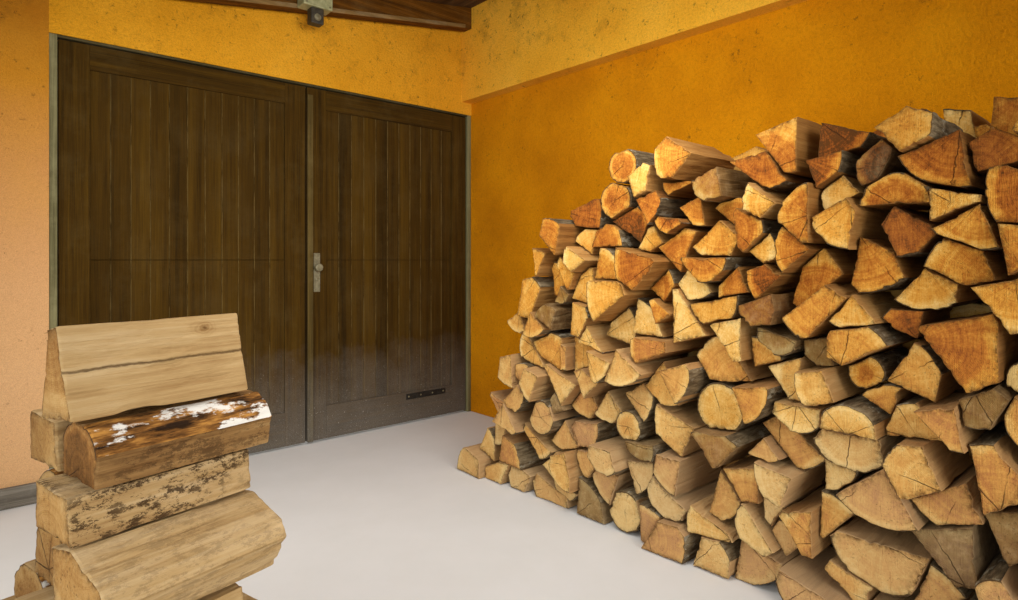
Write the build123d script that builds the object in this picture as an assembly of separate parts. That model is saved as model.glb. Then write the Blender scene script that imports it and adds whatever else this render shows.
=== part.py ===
from build123d import *
import math
import os
import random

# An open-fronted log store: a lean-to bay in the corner of two rendered masonry walls, with
# boarded double doors in the back wall and split firewood stacked two rows deep along the
# side wall. All sizes are in millimetres. x = 0 is the face of the side wall and y = 0 the
# face of the back wall, the bay lies on the minus side of both, and z = 0 is the ground.

# Walls
wall_thickness = 300
bay_depth = 4000
pier_width = 583
lintel_depth = 591
band_projection = 90
band_depth = 506
foot_board_height = 90
foot_board_thickness = 25

# Roof: a single slope that falls away from the side wall
roof_pitch = 9
rafter_depth = 145
rafter_width = 80
rafter_count = 5
first_rafter_gap = 35
last_rafter_gap = 85
edge_strip_depth = 25
edge_strip_thickness = 12
edge_strip_stop = 60
deck_thickness = 22
eaves_overhang = 200
top_overhang = 100
front_overhang = 200
rear_overhang = 60
board_thickness = 25
verge_depth = 190
batten_width = 50
batten_height = 40
sheet_pitch = 177
sheet_rise = 44
sheet_thickness = 7
sheet_lap = 200
sheet_drip = 60
capping_thickness = 2
capping_width = 160
capping_drop = 130

# Eaves beam and posts on the open side
post_size = 140
beam_depth = 190
pad_height = 150
pad_margin = 50
post_count = 3
front_post_setback = 100

# Double doors
opening_width = 2467
opening_height = 2150
jamb_width = 32
jamb_depth = 60
jamb_setback = 5
head_bar_height = 12
leaf_gap = 5
meeting_gap = 10
leaf_setback = 20
leaf_thickness = 50
leaf_ground_gap = 12
stile_width = 122
top_rail_height = 120
bottom_rail_height = 200
mid_rail_height = 100
panel_seam_height = 1100
panel_seam = 2
panel_thickness = 25
panel_recess = 12
meeting_strip_width = 34
meeting_strip_thickness = 12
meeting_strip_top_gap = 45
lock_plate_width = 40
lock_plate_length = 234
lock_plate_centre = 1025
lock_plate_inset = 40
lock_plate_thickness = 3
knob_height = 1055
knob_diameter = 47
knob_head = 22
knob_neck = 20
knob_neck_diameter = 24
knob_rounding = 6
vent_width = 320
vent_height = 38
vent_edge_inset = 183
vent_centre = 180
vent_thickness = 3

# Strap hinges on the inside of the leaves
strap_length = 420
strap_height = 40
strap_thickness = 5
eye_diameter = 26
pin_diameter = 14
pin_clearance = 0.3
bearing_gap = 0.5
bracket_thickness = 10
bracket_nose = 8
pin_projection = 4

# Lamp box on the first rafter
lamp_width = 170
lamp_height = 95
lamp_depth = 105
lamp_centre = 1265
lamp_drop = 40
holder_width = 75
holder_height = 90
holder_depth = 60

# Firewood: two rows of split logs, each row a log's length deep. "along" is measured from
# the back wall towards the open front and "up" from the ground.
log_length = 330
log_length_spread = 14
front_row_face = 800
rear_row_face = 440
row_gap = 12
wall_gap = 12
face_spread = 32
face_spread_limit = 62
seat_gap = 0.3
log_radius_near_doors = 60
log_radius_at_front = 66
log_flatness = 1.18
closeness = 0.93
heart_offset = 0.78
flat_offset = 0.3
wedge_half_angle = 40
block_flats = (0, 105, 215)
least_room = 0.34
neighbour_reach = 1.4
largest_reach = 190
stack_start = 985
stack_end_setback = 380
stack_top = 1540
rear_row_extra = 60
course_height = 160
smallest_log = 40
pushed_home = 9
front_row_seed = 11
rear_row_seed = 23

# The ragged end of the stack next to the doors: where each height of the stack begins
stack_end_profile = [
    (stack_start, 0), (1010, 190), (1110, 290), (1215, 450), (1245, 820), (1330, 990),
    (1470, 1050), (1500, 1210), (1670, 1260), (1850, 1380), (1960, stack_top),
]

# The logs that stand out in the face of the front row, from the foot upwards:
# (along, up, radius, shape, direction of its heart in degrees, 0 towards the open front)
landmark_logs = [
    (1980, 95, 84, "round", 0), (2510, 100, 92, "wedge", 120), (2890, 235, 118, "half", 90),
    (3140, 130, 70, "round", 0), (1500, 250, 80, "half", 60), (1330, 330, 68, "wedge", 90),
    (1640, 330, 74, "wedge", 90), (2190, 210, 84, "half", 60), (2680, 270, 58, "block", 0),
    (2590, 300, 62, "wedge", 20), (1905, 330, 66, "half", 90), (2220, 340, 70, "wedge", 40),
    (2500, 350, 66, "block", 0), (2640, 400, 62, "wedge", 30), (2400, 430, 84, "wedge", 270),
    (2910, 440, 98, "wedge", 80), (3085, 450, 84, "wedge", 70), (3180, 400, 62, "block", 0),
    (2780, 450, 70, "wedge", 130), (1760, 470, 66, "half", 90), (2570, 480, 60, "wedge", 90),
    (2650, 520, 66, "wedge", 100), (2820, 545, 66, "half", 90), (3010, 560, 58, "wedge", 330),
    (2190, 500, 62, "wedge", 20), (2380, 575, 92, "round", 0), (3160, 560, 54, "half", 270),
    (3000, 640, 56, "half", 270), (2680, 630, 60, "half", 90), (2140, 640, 62, "wedge", 90),
    (2240, 670, 80, "wedge", 160), (2520, 655, 64, "wedge", 150), (2820, 625, 56, "half", 270),
    (2910, 690, 56, "wedge", 290), (3075, 690, 62, "wedge", 60), (2390, 745, 68, "half", 0),
    (2630, 740, 60, "block", 0), (2770, 720, 50, "half", 20), (3140, 745, 60, "half", 120),
    (2530, 770, 56, "wedge", 240), (2960, 775, 58, "wedge", 200), (2740, 830, 62, "wedge", 50),
    (2450, 850, 60, "block", 0), (2870, 855, 60, "wedge", 250), (3115, 880, 92, "block", 0),
    (3230, 820, 70, "half", 0), (2590, 950, 70, "wedge", 60), (2690, 925, 60, "half", 90),
    (2840, 960, 58, "wedge", 90), (2975, 915, 54, "wedge", 300), (2980, 1010, 52, "wedge", 90),
    (3200, 1010, 56, "block", 0), (2390, 1095, 60, "half", 90), (2680, 1135, 62, "wedge", 0),
    (2875, 1125, 76, "wedge", 120), (2550, 1130, 52, "wedge", 180), (2390, 1190, 64, "wedge", 80),
    (3060, 1095, 66, "wedge", 290), (2960, 1150, 56, "half", 90), (3130, 1205, 62, "wedge", 70),
    (2430, 1265, 60, "wedge", 280), (2710, 1265, 66, "half", 0), (2590, 1280, 54, "wedge", 0),
    (2300, 1300, 56, "wedge", 60), (2940, 1285, 84, "half", 270), (2390, 1375, 76, "wedge", 60),
    (2550, 1390, 62, "wedge", 90), (2740, 1390, 62, "wedge", 150), (3060, 1390, 100, "wedge", 60),
    (2620, 1490, 70, "block", 0), (2800, 1480, 58, "wedge", 120), (2940, 1480, 58, "wedge", 170),
]

# The small pile of freshly split logs on the open side, listed from the ground upwards:
# across (towards the open side), width, height, shape, tilt, and how far back its end lies.
pile_to_open_side = 430
pile_to_doors = 2228
pile_turn = 14
pile_log_length = 345
pile_logs = [
    (-810, 185, 120, "half", 0, 10), (-627, 180, 130, "wedge", 0, -15),
    (-444, 185, 125, "half", 0, 20), (-256, 190, 135, "block", 0, -10),
    (-70, 181, 130, "half", 0, 5), (109, 176, 120, "block", 0, -20),
    (-700, 165, 110, "wedge", -8, 0), (-520, 180, 120, "half", 4, -25),
    (-335, 185, 115, "block", -3, 15), (-148, 185, 120, "half", 3, -10),
    (35, 180, 115, "block", 0, -30), (-420, 170, 115, "wedge", 6, 10),
    (-240, 180, 110, "half", -3, -20), (-55, 180, 115, "block", 2, 0),
    (112, 120, 90, "wedge", -5, -5), (-335, 170, 90, "half", 0, 45),
    (-165, 150, 84, "block", 0, -15), (12, 160, 84, "block", 0, -75),
    (20, 205, 150, "ridge", 0, 0), (-205, 180, 128, "bark", 0, 40),
    (-78, 160, 92, "block", 0, -4), (-245, 150, 90, "half", 0, 55),
    (-48, 172, 113, "bark", 0, 30), (-220, 150, 105, "block", 0, 30),
    (-80, 124, 182, "slab", 0, 0),
]

bay_width = opening_width + pier_width
rafter_seat = opening_height + lintel_depth
band_underside = rafter_seat - band_depth
rafter_room = bay_depth - first_rafter_gap - last_rafter_gap - rafter_width
rafter_spacing = rafter_room / (rafter_count - 1)
slope = math.tan(math.radians(roof_pitch))
steep = 1 / math.cos(math.radians(roof_pitch))
rafter_rise = rafter_depth * steep
deck_rise = rafter_rise + deck_thickness * steep
batten_rise = deck_rise + batten_height * steep

stack_end = bay_depth - stack_end_setback

opening_left = -opening_width
leaf_width = (opening_width - 2 * jamb_width - 2 * leaf_gap - meeting_gap) / 2
leaf_rear = leaf_setback + leaf_thickness
leaf_top = opening_height - head_bar_height - leaf_gap
hinge_axis_y = leaf_rear + eye_diameter / 2
hinge_axis_inset = leaf_gap * 0.7
panel_front = leaf_setback + panel_recess
eaves_x = -bay_width - eaves_overhang
top_x = wall_thickness + top_overhang
front_y = -bay_depth - front_overhang
rear_y = wall_thickness + rear_overhang

nodes = {}


def add(name, *solids):
    """Keep solids as one named piece of the building."""
    nodes.setdefault(name, []).extend(solids)


def block(x0, x1, y0, y1, z0, z1):
    """A squared piece between two corners."""
    size = Box(abs(x1 - x0), abs(y1 - y0), abs(z1 - z0))
    return Pos((x0 + x1) / 2, (y0 + y1) / 2, (z0 + z1) / 2) * size


def roof_line(x):
    """Height of the rafters' underside at x."""
    return rafter_seat + x * slope


def run_along_y(outline, y0, y1):
    """A piece of constant section, given as (x, z) points, that runs from y0 to y1."""
    points = [(x, y0, z) for x, z in outline]
    section = make_face(Polyline(*points, close=True))
    return extrude(section, amount=y1 - y0, dir=(0, 1, 0))


def sloped(x0, x1, y0, y1, bottom, top):
    """A piece that follows the roof, between two heights above the rafters' underside."""
    outline = [
        (x0, roof_line(x0) + bottom),
        (x1, roof_line(x1) + bottom),
        (x1, roof_line(x1) + top),
        (x0, roof_line(x0) + top),
    ]
    return run_along_y(outline, y0, y1)


def wall_up_to(x0, x1, y0, y1, z0, rise):
    """Masonry from z0 up to a sloping head, rise above the rafters' underside."""
    outline = [(x0, z0), (x1, z0), (x1, roof_line(x1) + rise), (x0, roof_line(x0) + rise)]
    return run_along_y(outline, y0, y1)


def rafter_backs():
    """Where the rear face of each rafter lies along y."""
    return [-first_rafter_gap - i * rafter_spacing for i in range(rafter_count)]


def build_walls():
    """The two walls, the projecting band and the masonry between the rafter ends."""
    add("back_wall_pier", wall_up_to(-bay_width, opening_left, 0, wall_thickness, 0, rafter_rise))
    add("back_wall_lintel",
        wall_up_to(opening_left, 0, 0, wall_thickness, opening_height, rafter_rise))
    add("corner_pier", wall_up_to(0, wall_thickness, 0, wall_thickness, 0, rafter_rise))
    add("side_wall", wall_up_to(0, wall_thickness, -bay_depth, 0, 0, 0))
    add("side_wall_band", wall_up_to(-band_projection, 0, -bay_depth, 0, band_underside, 0))
    starts = [0] + [y - rafter_width for y in rafter_backs()]
    ends = rafter_backs() + [-bay_depth]
    for start, end in zip(starts, ends):
        infill = sloped(-band_projection, wall_thickness, end, start, 0, rafter_rise)
        add("wall_head_infill", infill)
    add("foot_board", block(-bay_width + post_size + pad_margin, opening_left,
                            -foot_board_thickness, 0, 0, foot_board_height))


def build_roof_frame():
    """Rafters with a thin strip along their lower edge, the eaves beam, posts and pads."""
    for y in rafter_backs():
        add("rafters", sloped(eaves_x, wall_thickness, y - rafter_width, y, 0, rafter_rise))
        strip_front = y - rafter_width - edge_strip_thickness
        add("rafter_edge_strips",
            sloped(-bay_width + post_size, -band_projection - edge_strip_stop,
                   strip_front, y - rafter_width, 0, edge_strip_depth))
    beam_inner = -bay_width + post_size
    beam_bottom = roof_line(beam_inner) - beam_depth
    add("eaves_beam", wall_up_to(-bay_width, beam_inner, -bay_depth, 0, beam_bottom, 0))
    first = -post_size
    last = -bay_depth + front_post_setback
    for i in range(post_count):
        y = first + (last - first) * i / (post_count - 1)
        add("eaves_posts",
            block(-bay_width, beam_inner, y, y + post_size, pad_height, beam_bottom))
        pad_rear = min(y + post_size + pad_margin, 0)
        add("post_pads", block(-bay_width - pad_margin, beam_inner + pad_margin,
                               y - pad_margin, pad_rear, 0, pad_height))


def sheet_row(x0, x1, lift):
    """One row of corrugated sheets from x0 to x1, lifted above the battens by lift."""
    waves = max(1, round((rear_y - front_y) / sheet_pitch))
    half = (rear_y - front_y) / waves / 2
    base = roof_line(x0) + batten_rise + lift + sheet_rise / 2
    edges = []
    for i in range(2 * waves):
        crest = sheet_rise / 2 if i % 2 == 0 else -sheet_rise / 2
        y = front_y + i * half
        for z, start, end in ((base + sheet_thickness, y, y + half), (base, y + half, y)):
            middle = (x0, y + half / 2, z + crest)
            edges.append(ThreePointArc((x0, start, z), middle, (x0, end, z)))
    for y in (front_y, rear_y):
        edges.append(Line((x0, y, base), (x0, y, base + sheet_thickness)))
    section = make_face(edges)
    run = Vector(x1 - x0, 0, (x1 - x0) * slope)
    return extrude(section, amount=run.length, dir=run)


def build_roof_cover():
    """Deck boards as one slab, battens, two rows of corrugated sheets and the edge boards."""
    add("roof_deck", sloped(eaves_x - board_thickness, top_x, front_y, rear_y,
                            rafter_rise, deck_rise))
    add("eaves_fascia", sloped(eaves_x - board_thickness, eaves_x, front_y, rear_y,
                               0, rafter_rise))
    low_x = eaves_x - board_thickness - sheet_drip
    middle_x = (low_x + top_x) / 2
    lap_low = middle_x - sheet_lap / 2 / steep
    lap_high = middle_x + sheet_lap / 2 / steep
    upper_lift = sheet_thickness + seat_gap
    for x, lift in ((eaves_x, 0), (middle_x - batten_width / 2, 0),
                    (top_x - batten_width, upper_lift)):
        add("roof_battens", sloped(x, x + batten_width, front_y, rear_y,
                                   deck_rise, batten_rise + lift))
    add("roof_sheets_lower", sheet_row(low_x, lap_high, seat_gap))
    add("roof_sheets_upper", sheet_row(lap_low, top_x, seat_gap + upper_lift))
    verge_bottom = deck_rise + batten_height - verge_depth
    verge_top = deck_rise + batten_height
    for y in (front_y - board_thickness, rear_y):
        add("verge_boards", sloped(eaves_x - board_thickness, top_x, y, y + board_thickness,
                                   verge_bottom, verge_top))
    cap_z = batten_rise + 2 * sheet_thickness + sheet_rise + 1
    cap_out = top_x + board_thickness
    outline = [
        (top_x - capping_width, roof_line(top_x - capping_width) + cap_z),
        (cap_out, roof_line(cap_out) + cap_z),
        (cap_out, roof_line(cap_out) + cap_z - capping_drop),
        (cap_out + capping_thickness, roof_line(cap_out) + cap_z - capping_drop),
        (cap_out + capping_thickness, roof_line(cap_out) + cap_z + capping_thickness),
        (top_x - capping_width, roof_line(top_x - capping_width) + cap_z + capping_thickness),
    ]
    add("top_edge_board", sloped(top_x, cap_out, front_y - board_thickness,
                                 rear_y + board_thickness, verge_bottom, verge_top))
    add("top_edge_capping", run_along_y(outline, front_y, rear_y))


def build_door_frame():
    """Jambs at both sides of the opening and the thin bar under its head."""
    jamb_rear = jamb_setback + jamb_depth
    for x in (opening_left, -jamb_width):
        add("door_jambs", block(x, x + jamb_width, jamb_setback, jamb_rear, 0, opening_height))
    add("door_head_bar", block(opening_left + jamb_width, -jamb_width, jamb_setback, jamb_rear,
                               opening_height - head_bar_height, opening_height))


def build_leaf(side, hinge_edge, hand):
    """One door leaf. hand is 1 where the leaf runs towards +x from its hinge edge, else -1."""
    def piece(s0, s1, y0, y1, z0, z1):
        return block(hinge_edge + hand * s0, hinge_edge + hand * s1, y0, y1, z0, z1)

    inner = leaf_width - stile_width
    for s in (0, inner):
        add(side + "_leaf_stiles",
            piece(s, s + stile_width, leaf_setback, leaf_rear, leaf_ground_gap, leaf_top))
    rail_bottom = leaf_ground_gap + bottom_rail_height
    rail_top = leaf_top - top_rail_height
    panel_rear = panel_front + panel_thickness
    mid_low = panel_seam_height - mid_rail_height / 2
    mid_high = panel_seam_height + mid_rail_height / 2
    add(side + "_leaf_rails",
        piece(stile_width, inner, leaf_setback, leaf_rear, leaf_ground_gap, rail_bottom),
        piece(stile_width, inner, panel_rear, leaf_rear, mid_low, mid_high),
        piece(stile_width, inner, leaf_setback, leaf_rear, rail_top, leaf_top))
    half_seam = panel_seam / 2
    for z0, z1 in ((rail_bottom, panel_seam_height - half_seam),
                   (panel_seam_height + half_seam, rail_top)):
        add(side + "_leaf_boards", piece(stile_width, inner, panel_front, panel_rear, z0, z1))

    axis_x = hinge_edge - hand * hinge_axis_inset
    rail_middles = (leaf_ground_gap + bottom_rail_height / 2, panel_seam_height,
                    leaf_top - top_rail_height / 2)
    for z in rail_middles:
        low = z - strap_height / 2
        high = z + strap_height / 2
        strap = piece(-hinge_axis_inset, strap_length, leaf_rear, leaf_rear + strap_thickness,
                      low, high)
        eye = Pos(axis_x, hinge_axis_y, z) * Cylinder(eye_diameter / 2, strap_height)
        bore = Pos(axis_x, hinge_axis_y, z) * Cylinder(
            pin_diameter / 2 + pin_clearance, 2 * strap_height)
        add(side + "_leaf_straps", strap + eye - bore)

        plate_top = low - bearing_gap
        plate_low = plate_top - bracket_thickness
        jamb_rear = jamb_setback + jamb_depth
        plate = piece(-leaf_gap - jamb_width + 2, -hinge_axis_inset - bracket_nose, jamb_rear,
                      hinge_axis_y + bracket_nose, plate_low, plate_top)
        neck = piece(-leaf_gap - jamb_width + 2, -hinge_axis_inset,
                     hinge_axis_y - bracket_nose, hinge_axis_y + bracket_nose,
                     plate_low, plate_top)
        nose = Pos(axis_x, hinge_axis_y, (plate_low + plate_top) / 2) * Cylinder(
            bracket_nose, bracket_thickness)
        pin_top = high + pin_projection
        pin = Pos(axis_x, hinge_axis_y, (plate_low + pin_top) / 2) * Cylinder(
            pin_diameter / 2, pin_top - plate_low)
        add(side + "_hinge_pins", plate + neck + nose + pin)


def build_door_fittings():
    """Strip, lock plate, knob and vent on the bay side of the right leaf."""
    meeting_edge = -jamb_width - leaf_gap - leaf_width
    add("meeting_strip",
        block(meeting_edge, meeting_edge + meeting_strip_width,
              leaf_setback - meeting_strip_thickness, leaf_setback,
              leaf_ground_gap, leaf_top - meeting_strip_top_gap))
    plate_left = meeting_edge + lock_plate_inset
    plate_front = leaf_setback - lock_plate_thickness
    add("lock_plate",
        block(plate_left, plate_left + lock_plate_width, plate_front, leaf_setback,
              lock_plate_centre - lock_plate_length / 2, lock_plate_centre + lock_plate_length / 2))
    knob_x = plate_left + lock_plate_width / 2
    towards_bay = Rotation(90, 0, 0)
    neck = Pos(knob_x, plate_front - knob_neck / 2, knob_height) * towards_bay * Cylinder(
        knob_neck_diameter / 2, knob_neck)
    head = Cylinder(knob_diameter / 2, knob_head)
    head = fillet(head.edges(), knob_rounding)
    head_y = plate_front - knob_neck - knob_head / 2
    add("door_knob", neck + Pos(knob_x, head_y, knob_height) * towards_bay * head)
    vent_right = -jamb_width - leaf_gap - vent_edge_inset
    add("vent_plate",
        block(vent_right - vent_width, vent_right, leaf_setback - vent_thickness, leaf_setback,
              vent_centre - vent_height / 2, vent_centre + vent_height / 2))


def build_lamp():
    """The closed lamp box on the first rafter, with its holder below."""
    rafter_face = rafter_backs()[0] - rafter_width
    low = roof_line(-lamp_centre) + edge_strip_depth
    box_left = -lamp_centre - lamp_width / 2
    add("lamp_box", block(box_left, box_left + lamp_width, rafter_face - lamp_depth,
                          rafter_face - edge_strip_thickness, low - lamp_drop, low + lamp_height))
    holder_rear = rafter_face - edge_strip_thickness - (lamp_depth - holder_depth) / 2
    add("lamp_holder", block(-lamp_centre - holder_width / 2, -lamp_centre + holder_width / 2,
                             holder_rear - holder_depth, holder_rear,
                             low - lamp_drop - holder_height, low - lamp_drop))


def keep_side(outline, a, b, limit):
    """The part of a convex outline where a * along + b * up is at most limit."""
    kept = []
    for (u0, v0), (u1, v1) in zip(outline, outline[1:] + outline[:1]):
        d0 = a * u0 + b * v0 - limit
        d1 = a * u1 + b * v1 - limit
        if d0 <= 0:
            kept.append((u0, v0))
        if d0 * d1 < 0:
            t = d0 / (d0 - d1)
            kept.append((u0 + t * (u1 - u0), v0 + t * (v1 - v0)))
    return kept


def area_and_centre(outline):
    """Area and centroid of a flat outline."""
    area = 0
    centre_u = 0
    centre_v = 0
    for (u0, v0), (u1, v1) in zip(outline, outline[1:] + outline[:1]):
        cross = u0 * v1 - u1 * v0
        area += cross / 2
        centre_u += (u0 + u1) * cross / 6
        centre_v += (v0 + v1) * cross / 6
    return area, (centre_u / area, centre_v / area)


def distance_to_side(point, start, end):
    """Distance from a point to the line through a side."""
    du = end[0] - start[0]
    dv = end[1] - start[1]
    cross = du * (point[1] - start[1]) - dv * (point[0] - start[0])
    return abs(cross) / math.hypot(du, dv)


def sides(outline):
    """Each side of an outline as a pair of points."""
    return list(zip(outline, outline[1:] + outline[:1]))


def inside_bark(outline, bark, steps=40):
    """An outline cut round by the bark, which is drawn with many short sides."""
    if bark is None:
        return outline
    (u, v), radius = bark
    for i in range(steps):
        a = math.cos(2 * math.pi * i / steps)
        b = math.sin(2 * math.pi * i / steps)
        outline = keep_side(outline, a, b, a * u + b * v + radius)
    return outline


def bark_radius(outline, heart, share_cut):
    """The radius that cuts a share of the outline's area away on the bark side."""
    whole = area_and_centre(outline)[0]
    radius = max(math.dist(heart, point) for point in outline)
    step = radius / 50
    while radius > step:
        rest = inside_bark(outline, (heart, radius - step))
        if len(rest) < 3 or area_and_centre(rest)[0] < (1 - share_cut) * whole:
            break
        radius -= step
    return radius


def heart_and_bark(outline, shape, heart_angle, share_cut):
    """Where the heart of the tree lay and how far the bark is from it."""
    centre = area_and_centre(outline)[1]
    if shape == "block":
        return None
    if shape == "round":
        near = sorted(distance_to_side(centre, p, q) for p, q in sides(outline))
        touching = 3
        return centre, near[touching - 1] * 1.01
    a = math.cos(math.radians(heart_angle))
    b = math.sin(math.radians(heart_angle))

    def towards_heart(point):
        return a * (point[0] - centre[0]) + b * (point[1] - centre[1])

    if shape == "wedge":
        heart = max(outline, key=towards_heart)
    else:
        p, q = max(sides(outline), key=lambda side: towards_heart(side[0]) + towards_heart(side[1]))
        heart = ((p[0] + q[0]) / 2, (p[1] + q[1]) / 2)
    return heart, bark_radius(outline, heart, share_cut)


def stack_begins(up):
    """Where the stack begins, along the wall, at a height."""
    for (u0, v0), (u1, v1) in zip(stack_end_profile, stack_end_profile[1:]):
        if up <= v1:
            return u0 + (u1 - u0) * (up - v0) / (v1 - v0)
    return stack_end_profile[-1][0]


def in_stack(along, up, radius, top):
    """True where a log of this radius lies within the stack's outline."""
    reach = 0.75 * radius
    if not 0 < up < top - reach:
        return False
    return stack_begins(up) + reach < along < stack_end - reach


def scatter_logs(rng, landmarks, top):
    """Middles and radii of the logs, packed close, with smaller ones in the gaps left."""
    places = list(landmarks)
    margin = 3 * log_radius_at_front
    tries_per_size = 2500
    for size in (1.15, 1.0, 0.85, 0.72):
        for _ in range(tries_per_size):
            along = rng.uniform(stack_start - margin, stack_end + margin)
            up = rng.uniform(log_radius_near_doors * 0.7, top + margin)
            share = (along - stack_start) / (stack_end - stack_start)
            growth = (log_radius_at_front - log_radius_near_doors) * share
            radius = (log_radius_near_doors + growth) * size * rng.uniform(0.93, 1.07)
            if all(math.hypot(along - u, (up - v) * log_flatness) >= closeness * (radius + r)
                   for u, v, r, _, _ in places):
                shape = rng.choices(("wedge", "half", "block", "round"), (55, 27, 13, 5))[0]
                places.append((along, up, radius, shape, rng.uniform(0, 360)))
    return places


def flats(place):
    """The flat faces that splitting left on a log, as (a, b, limit): a u + b v = limit."""
    u, v, radius, shape, heart_angle = place
    if shape == "wedge":
        turns = (90 - wedge_half_angle, wedge_half_angle - 90)
        offset = heart_offset * math.sin(math.radians(wedge_half_angle))
    elif shape == "half":
        turns = (0,)
        offset = flat_offset
    elif shape == "block":
        turns = block_flats
        offset = heart_offset
    else:
        return []
    faces = []
    for turn in turns:
        a = math.cos(math.radians(heart_angle + turn))
        b = math.sin(math.radians(heart_angle + turn))
        faces.append((a, b, a * u + b * v + offset * radius))
    return faces


def room_beside(line, place, other):
    """How well a line parts two logs, from their distances from it over their radii: mainly the
    lesser one, with a little of both."""
    a, b, limit = line
    own = (limit - a * place[0] - b * place[1]) / place[2]
    theirs = (a * other[0] + b * other[1] - limit) / other[2]
    return 0.9 * min(own, theirs) + 0.05 * (own + theirs)


def middle_line(place, other):
    """The line between two logs that splits the room by their radii."""
    squash = log_flatness ** 2
    a = 2 * (other[0] - place[0])
    b = 2 * squash * (other[1] - place[1])
    limit = other[0] ** 2 - place[0] ** 2 + squash * (other[1] ** 2 - place[1] ** 2)
    limit += place[2] ** 2 - other[2] ** 2
    length = math.hypot(a, b)
    return a / length, b / length, limit / length


def parting_line(place, other):
    """The line at which two logs meet: a flat of one of them where it parts them well."""
    reach = neighbour_reach * (place[2] + other[2])
    if math.dist(place[:2], other[:2]) < reach:
        lines = flats(place) + [(-a, -b, -limit) for a, b, limit in flats(other)]
        if lines:
            best = max(lines, key=lambda line: room_beside(line, place, other))
            if room_beside(best, place, other) > least_room:
                return best
    return middle_line(place, other)


def log_cell(place, places):
    """The share of the stack's face that belongs to one log."""
    u, v = place[:2]
    room = largest_reach
    cell = [(u - room, 0), (u + room, 0), (u + room, v + room), (u - room, v + room)]
    for other in places:
        if other is place or abs(other[0] - u) > 2 * room or abs(other[1] - v) > 2 * room:
            continue
        a, b, limit = parting_line(place, other)
        cell = keep_side(cell, a, b, limit - seat_gap / 2)
    return cell


def log_solid(outline, bark, face_x, back_x):
    """One log: its outline run along x, rounded where the bark was."""
    points = [(face_x, -u, v) for u, v in outline]
    log = extrude(make_face(Polyline(*points, close=True)), amount=back_x - face_x, dir=(1, 0, 0))
    if bark is None:
        return log
    (u, v), radius = bark
    trunk = Pos((face_x + back_x) / 2, -u, v) * Rotation(0, 90, 0) * Cylinder(
        radius, 2 * (back_x - face_x))
    return log & trunk


def height_at(outline, along, pick):
    """Where a vertical line crosses an outline: its highest point with max, lowest with min."""
    crossings = []
    for (u0, v0), (u1, v1) in sides(outline):
        if min(u0, u1) <= along <= max(u0, u1) and u0 != u1:
            crossings.append(v0 + (v1 - v0) * (along - u0) / (u1 - u0))
    return pick(crossings) if crossings else None


def resting_lift(outline, settled):
    """How far an outline is lifted to lie on the ground or on the logs below it."""
    lift = -min(v for _, v in outline)
    for below in settled:
        for along in [u for u, _ in outline] + [u for u, _ in below]:
            bottom = height_at(outline, along, min)
            top = height_at(below, along, max)
            if bottom is not None and top is not None:
                lift = max(lift, top - bottom + seat_gap)
    return lift


def moved_outline(outline, across, lift):
    """An outline moved across and up."""
    return [(u + across, v + lift) for u, v in outline]


def lies_over(outline, other):
    """True where an outline lies over another one on a vertical line through both."""
    left = max(min(u for u, _ in outline), min(u for u, _ in other))
    right = min(max(u for u, _ in outline), max(u for u, _ in other))
    if left >= right:
        return False
    middle = (left + right) / 2
    return height_at(outline, middle, min) > height_at(other, middle, max) - seat_gap / 2


def settling(outlines):
    """How far each log sinks, from the ground upwards, until it lies on those below it."""
    below = [[j for j, other in enumerate(outlines) if j != i and lies_over(outline, other)]
             for i, outline in enumerate(outlines)]
    settled = {}
    while len(settled) < len(outlines):
        for i, outline in enumerate(outlines):
            if i not in settled and all(j in settled for j in below[i]):
                lift = resting_lift(outline, [settled[j] for j in below[i]])
                settled[i] = moved_outline(outline, 0, lift)
    return [outline[0][1] - settled[i][0][1] for i, outline in enumerate(outlines)]


def build_row(seed, landmarks, top, face, home, back_limit):
    """One row of the stack. Every few logs are pushed home, onto what lies behind the row."""
    rng = random.Random(seed)
    places = scatter_logs(rng, landmarks, top)
    courses = math.ceil(stack_top / course_height)
    logs = []
    for number, place in enumerate(places):
        along, up, radius, shape, heart_angle = place
        spread = rng.gauss(0, face_spread)
        length = log_length + rng.uniform(-log_length_spread, log_length_spread)
        share_cut = rng.uniform(0.06, 0.12)
        if place not in landmarks and not in_stack(along, up, radius, top):
            continue
        outline = log_cell(place, places)
        if len(outline) < 3 or area_and_centre(outline)[0] < smallest_log ** 2:
            continue
        bark = heart_and_bark(outline, shape, heart_angle, share_cut)
        face_x = -face + max(-face_spread_limit, min(face_spread_limit, spread))
        if home == 0:
            face_x = max(face_x, -face)
        back_x = min(face_x + length, -back_limit)
        if number % pushed_home == 0:
            back_x = -home - seat_gap
            face_x = back_x - log_length
        course = min(courses, 1 + int(up // course_height))
        logs.append((outline, bark, face_x, back_x, course))
    drops = settling([inside_bark(outline, bark) for outline, bark, _, _, _ in logs])
    for (outline, bark, face_x, back_x, course), drop in zip(logs, drops):
        outline = moved_outline(outline, 0, -drop)
        if bark is not None:
            bark = ((bark[0][0], bark[0][1] - drop), bark[1])
        add(f"log_course_{course:02d}", log_solid(outline, bark, face_x, back_x))


def build_stack():
    """Both rows of firewood, one node for each course."""
    build_row(front_row_seed, landmark_logs, stack_top, front_row_face, rear_row_face,
              rear_row_face + row_gap)
    build_row(rear_row_seed, [], stack_top + rear_row_extra, rear_row_face, 0, wall_gap)


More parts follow.
